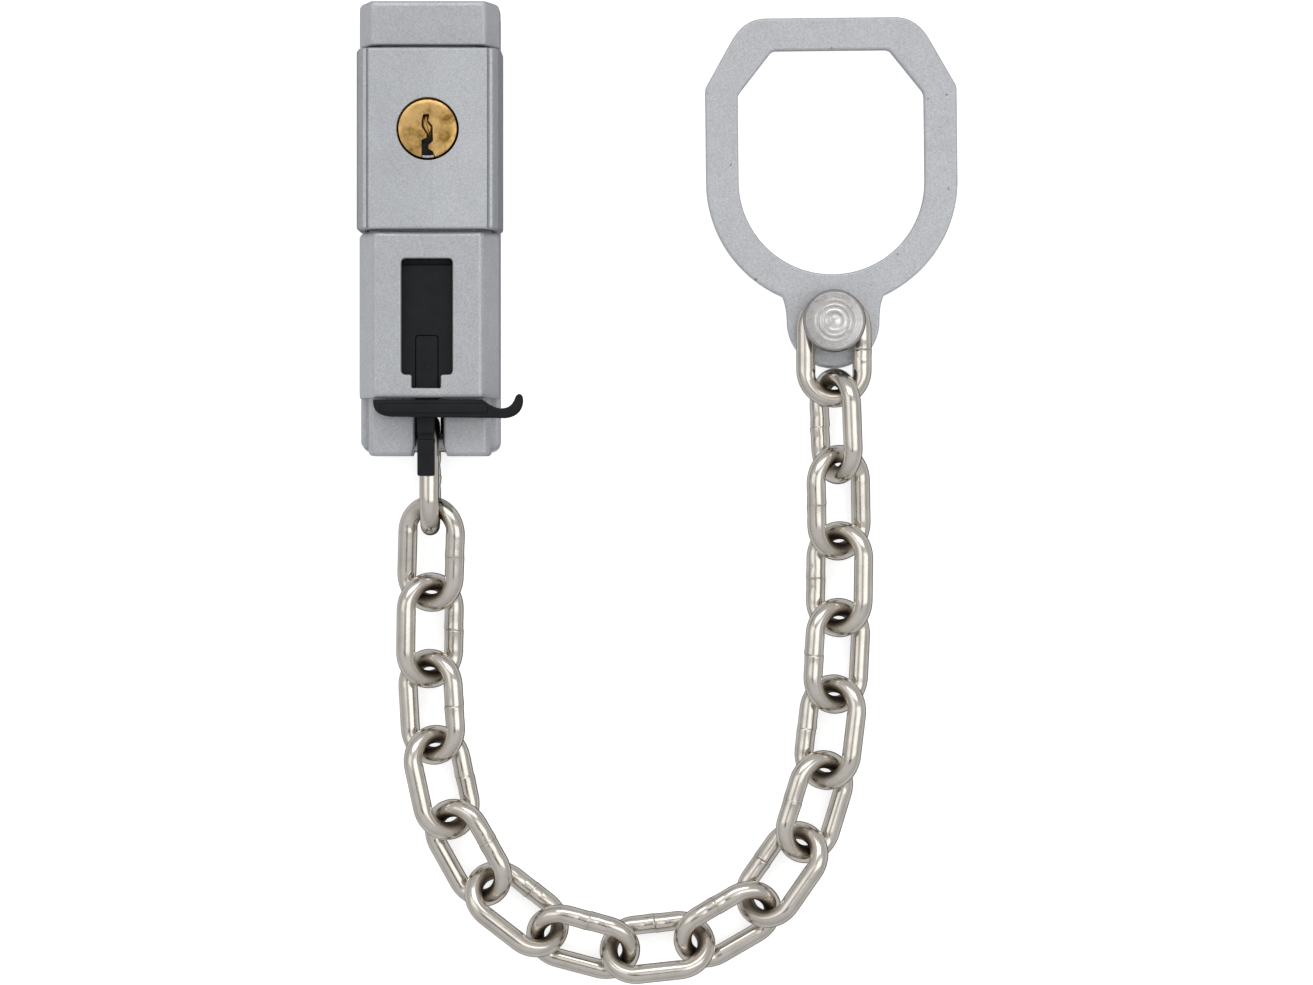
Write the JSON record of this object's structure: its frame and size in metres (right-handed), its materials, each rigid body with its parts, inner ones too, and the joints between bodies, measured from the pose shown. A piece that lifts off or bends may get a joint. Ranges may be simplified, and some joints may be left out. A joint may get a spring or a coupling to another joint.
{
  "type": "door chain guard",
  "caption": "Surface-mounted door chain guard: painted housing with a keyed lock and pull slider, a welded link chain and a flat ring for the door handle.",
  "frame": {"origin": "centre of the housing's flat back face, which is screwed to the door frame", "axes": "+Z out of the door frame, +Y up the frame, +X to the right, towards the ring as it lies beside the housing"},
  "size_m": [0.1228, 0.1998, 0.022],
  "materials": {
    "silver_paint": "fine sparkle silver paint on a die casting",
    "plain_steel": "plain turned and stamped steel",
    "nickel_steel": "warm nickel-plated welded wire",
    "brass": "turned brass",
    "black_plastic": "satin moulded black plastic",
    "spring_steel": "spring steel"
  },
  "bodies": {
    "housing": {"base_plate": "plain_steel", "housing_cover": "silver_paint", "lock_sleeve": "silver_paint", "lock_cylinder_body": "brass", "window_liner": "black_plastic", "slider_spring": "spring_steel", "anchor_pin": "plain_steel", "cover_screw_top": "plain_steel", "cover_screw_left": "plain_steel", "cover_screw_right": "plain_steel"},
    "key_plug": {"lock_plug": "brass", "lock_cam": "plain_steel", "cam_circlip": "spring_steel"},
    "locking_bar": {"lock_bar": "plain_steel"},
    "slider": {"release_slider": "black_plastic"},
    "chain_00": {"link_00": "nickel_steel"},
    "chain_01": {"link_01": "nickel_steel"},
    "chain_02": {"link_02": "nickel_steel"},
    "chain_03": {"link_03": "nickel_steel"},
    "chain_04": {"link_04": "nickel_steel"},
    "chain_05": {"link_05": "nickel_steel"},
    "chain_06": {"link_06": "nickel_steel"},
    "chain_07": {"link_07": "nickel_steel"},
    "chain_08": {"link_08": "nickel_steel"},
    "chain_09": {"link_09": "nickel_steel"},
    "chain_10": {"link_10": "nickel_steel"},
    "chain_11": {"link_11": "nickel_steel"},
    "chain_12": {"link_12": "nickel_steel"},
    "chain_13": {"link_13": "nickel_steel"},
    "chain_14": {"link_14": "nickel_steel"},
    "chain_15": {"link_15": "nickel_steel"},
    "chain_16": {"link_16": "nickel_steel"},
    "chain_17": {"link_17": "nickel_steel"},
    "ring": {"door_ring": "silver_paint", "ring_rivet": "plain_steel", "rivet_washer": "plain_steel"}
  },
  "joints": [
    {"name": "key_turn", "type": "hinge", "parent": "housing", "child": "key_plug", "pos_m": [0, 0.02, 0.022], "axis": [0, 0, -1], "range_deg": [0, 90]},
    {"name": "lock_bar_slide", "type": "slide", "parent": "housing", "child": "locking_bar", "axis": [0, -1, 0], "range_m": [0, 0.0045]},
    {"name": "slider_pull", "type": "slide", "parent": "housing", "child": "slider", "axis": [0, -1, 0], "range_m": [0, 0.004], "stiffness_N_per_m": 200, "springref_m": -0.002},
    {"name": "anchor_swing", "type": "hinge", "parent": "housing", "child": "chain_00", "pos_m": [0, -0.0432, 0.0078], "axis": [0, 0, 1], "range_deg": [-8, 8]},
    {"name": "link_01_turn", "type": "hinge", "parent": "chain_00", "child": "chain_01", "pos_m": [0.00031, -0.06061, 0.0078], "axis": [0.5032, 0.0818, -0.8603], "range_deg": [-10, 40]},
    {"name": "link_02_turn", "type": "hinge", "parent": "chain_01", "child": "chain_02", "pos_m": [-0.00005, -0.0762, 0.006], "axis": [0.5585, -0.0467, 0.8282], "range_deg": [-40, 10]},
    {"name": "link_03_turn", "type": "hinge", "parent": "chain_02", "child": "chain_03", "pos_m": [-0.00011, -0.09187, 0.0053], "axis": [0.5584, 0.0293, -0.829], "range_deg": [-10, 40]},
    {"name": "link_04_turn", "type": "hinge", "parent": "chain_03", "child": "chain_04", "pos_m": [0.00111, -0.10747, 0.0053], "axis": [0.547, 0.1163, 0.829], "range_deg": [-40, 10]},
    {"name": "link_05_turn", "type": "hinge", "parent": "chain_04", "child": "chain_05", "pos_m": [0.00504, -0.12245, 0.0053], "axis": [0.4891, 0.2711, -0.829], "range_deg": [-10, 40]},
    {"name": "link_06_turn", "type": "hinge", "parent": "chain_05", "child": "chain_06", "pos_m": [0.01329, -0.13537, 0.0053], "axis": [0.3443, 0.4406, 0.829], "range_deg": [-40, 10]},
    {"name": "link_07_turn", "type": "hinge", "parent": "chain_06", "child": "chain_07", "pos_m": [0.02593, -0.14403, 0.0053], "axis": [0.1447, 0.5401, -0.829], "range_deg": [-10, 40]},
    {"name": "link_08_turn", "type": "hinge", "parent": "chain_07", "child": "chain_08", "pos_m": [0.041, -0.14716, 0.0053], "axis": [-0.0585, 0.5561, 0.829], "range_deg": [-40, 10]},
    {"name": "link_09_turn", "type": "hinge", "parent": "chain_08", "child": "chain_09", "pos_m": [0.05607, -0.14458, 0.0053], "axis": [-0.2796, 0.4843, -0.829], "range_deg": [-10, 40]},
    {"name": "link_10_turn", "type": "hinge", "parent": "chain_09", "child": "chain_10", "pos_m": [0.06875, -0.13609, 0.0053], "axis": [-0.4581, 0.3207, 0.829], "range_deg": [-40, 10]},
    {"name": "link_11_turn", "type": "hinge", "parent": "chain_10", "child": "chain_11", "pos_m": [0.07698, -0.12299, 0.0053], "axis": [-0.5348, 0.1635, -0.829], "range_deg": [-10, 40]},
    {"name": "link_12_turn", "type": "hinge", "parent": "chain_11", "child": "chain_12", "pos_m": [0.08112, -0.10792, 0.0053], "axis": [-0.555, 0.0681, 0.829], "range_deg": [-40, 10]},
    {"name": "link_13_turn", "type": "hinge", "parent": "chain_12", "child": "chain_13", "pos_m": [0.08285, -0.09233, 0.0053], "axis": [-0.5584, 0.0293, -0.829], "range_deg": [-10, 40]},
    {"name": "link_14_turn", "type": "hinge", "parent": "chain_13", "child": "chain_14", "pos_m": [0.08359, -0.07665, 0.0053], "axis": [-0.5591, 0.0098, 0.829], "range_deg": [-40, 10]},
    {"name": "link_15_turn", "type": "hinge", "parent": "chain_14", "child": "chain_15", "pos_m": [0.0836, -0.06095, 0.0053], "axis": [-0.589, 0.067, -0.8053], "range_deg": [-10, 40]},
    {"name": "link_16_turn", "type": "hinge", "parent": "chain_15", "child": "chain_16", "pos_m": [0.08312, -0.04534, 0.0068], "axis": [-0.8378, -0.0397, 0.5445], "range_deg": [-40, 10]},
    {"name": "link_17_turn", "type": "hinge", "parent": "chain_16", "child": "chain_17", "pos_m": [0.08247, -0.02965, 0.0071], "axis": [0, 0, -1], "range_deg": [-10, 40]},
    {"name": "ring_turn", "type": "hinge", "parent": "chain_17", "child": "ring", "pos_m": [0.08247, -0.01845, 0.0071], "axis": [0, 0, 1], "range_deg": [-85, 85]}
  ],
  "couplings": [
    {"joint": "lock_bar_slide", "follows": "key_turn", "m_per_rad": 0.00286}
  ]
}
